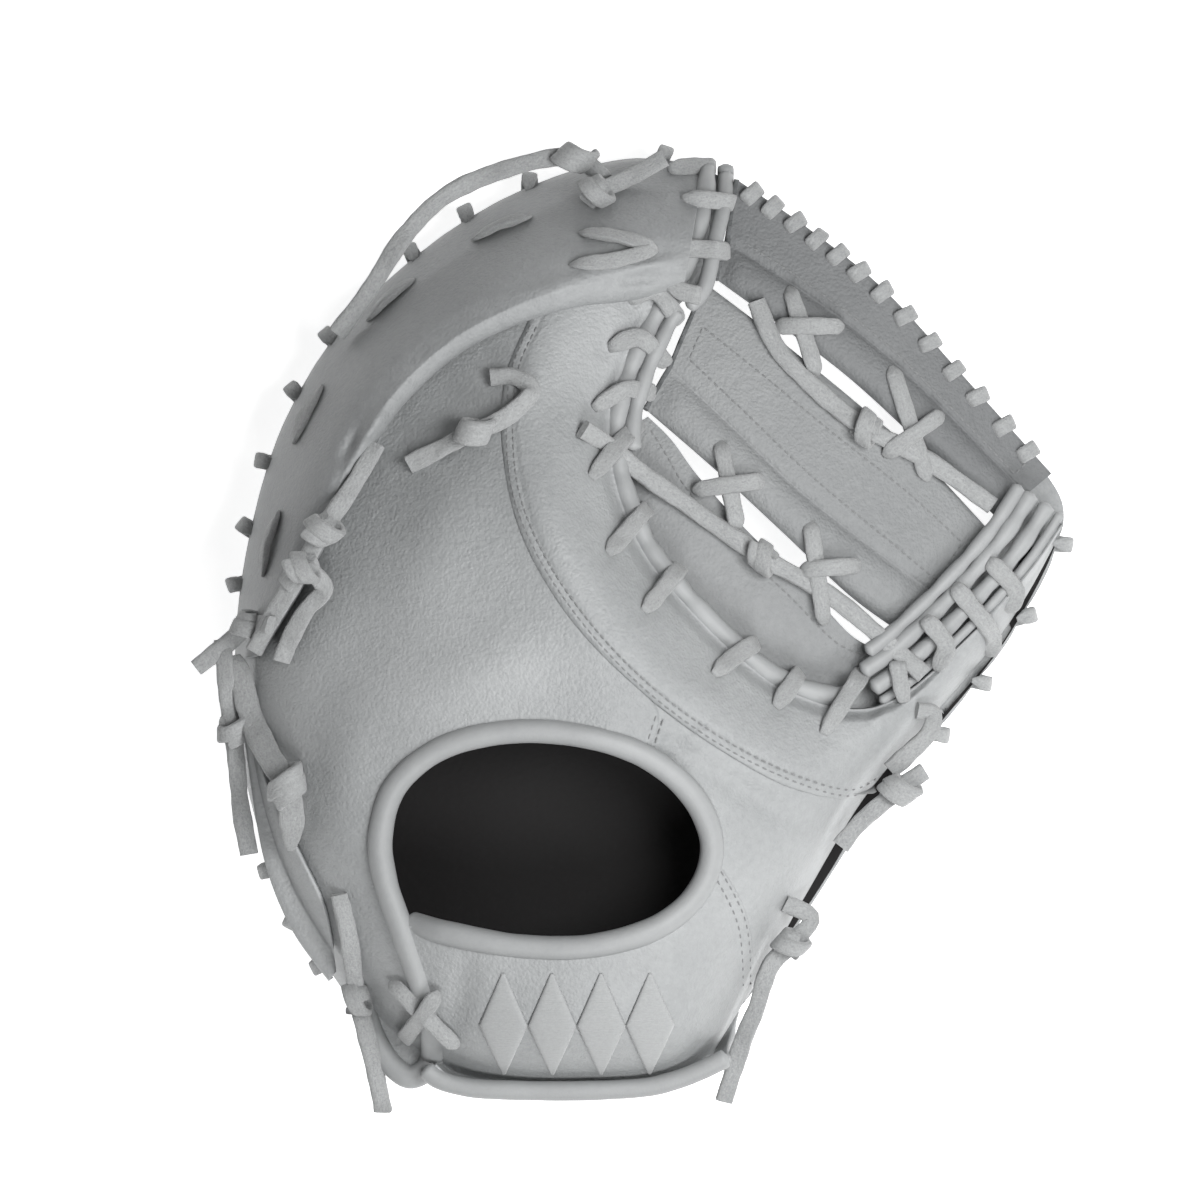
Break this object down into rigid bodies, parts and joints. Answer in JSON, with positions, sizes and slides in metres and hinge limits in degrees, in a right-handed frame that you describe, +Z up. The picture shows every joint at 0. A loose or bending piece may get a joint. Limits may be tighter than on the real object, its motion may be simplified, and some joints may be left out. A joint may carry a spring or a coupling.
{
  "type": "first baseman mitt",
  "caption": "Grey leather first baseman's mitt, palm down: scooped padded palm, laced rim, stitched web of leather straps, open back with a broad wrist strap and a rolled hand opening.",
  "frame": {"origin": "middle of the mitt's footprint, on the surface it lies on", "axes": "+Z up from that surface through the back of the hand, +Y from the wrist to the finger tips, +X from the little finger to the thumb"},
  "size_m": [0.286, 0.3136, 0.0996],
  "materials": {
    "grey_leather": "satin cowhide with a fine grain and grey double stitching",
    "rawhide_lace": "matt rawhide lace",
    "black_lining": "soft matt lining leather"
  },
  "bodies": {
    "root": {"finger_rim_lace": "rawhide_lace", "heel_rim_lace": "rawhide_lace", "thumb_rim_lace": "rawhide_lace", "thumb_binding_lace": "rawhide_lace", "thumb_end_lace": "rawhide_lace", "finger_end_lace": "rawhide_lace", "web_edge_lace": "rawhide_lace", "finger_top_lace": "rawhide_lace", "finger_top_lace_end": "rawhide_lace", "hand_back_lace": "rawhide_lace", "finger_side_lace": "rawhide_lace", "finger_ring_lace": "rawhide_lace", "finger_side_tail": "rawhide_lace", "little_finger_lace": "rawhide_lace", "heel_left_lace": "rawhide_lace", "thumb_side_loop": "rawhide_lace", "thumb_side_lace": "rawhide_lace", "heel_right_lace": "rawhide_lace", "web_tie_lace": "rawhide_lace", "crotch_tie_lace": "rawhide_lace", "web_cross_lace_1": "rawhide_lace", "web_cross_lace_2": "rawhide_lace", "web_cross_lace_3": "rawhide_lace", "web_cross_lace_4": "rawhide_lace", "strap_cross_lace": "rawhide_lace", "little_finger_strap": "rawhide_lace", "opening_roll": "grey_leather", "strap_lower_roll": "grey_leather", "thumb_binding_roll": "grey_leather", "finger_end_roll": "grey_leather", "finger_end_welt": "grey_leather", "thumb_end_roll": "grey_leather", "thumb_end_web_roll": "grey_leather", "thumb_end_welt": "grey_leather", "palm_shell": "grey_leather", "thumb_panel": "grey_leather", "finger_band": "grey_leather", "web_outer_strap": "grey_leather", "web_middle_strap": "grey_leather", "web_inner_panel": "grey_leather", "little_finger_flap": "grey_leather", "hand_back_panel": "grey_leather", "side_panel": "grey_leather", "wrist_strap": "grey_leather", "palm_lining": "black_lining"}
  },
  "joints": []
}
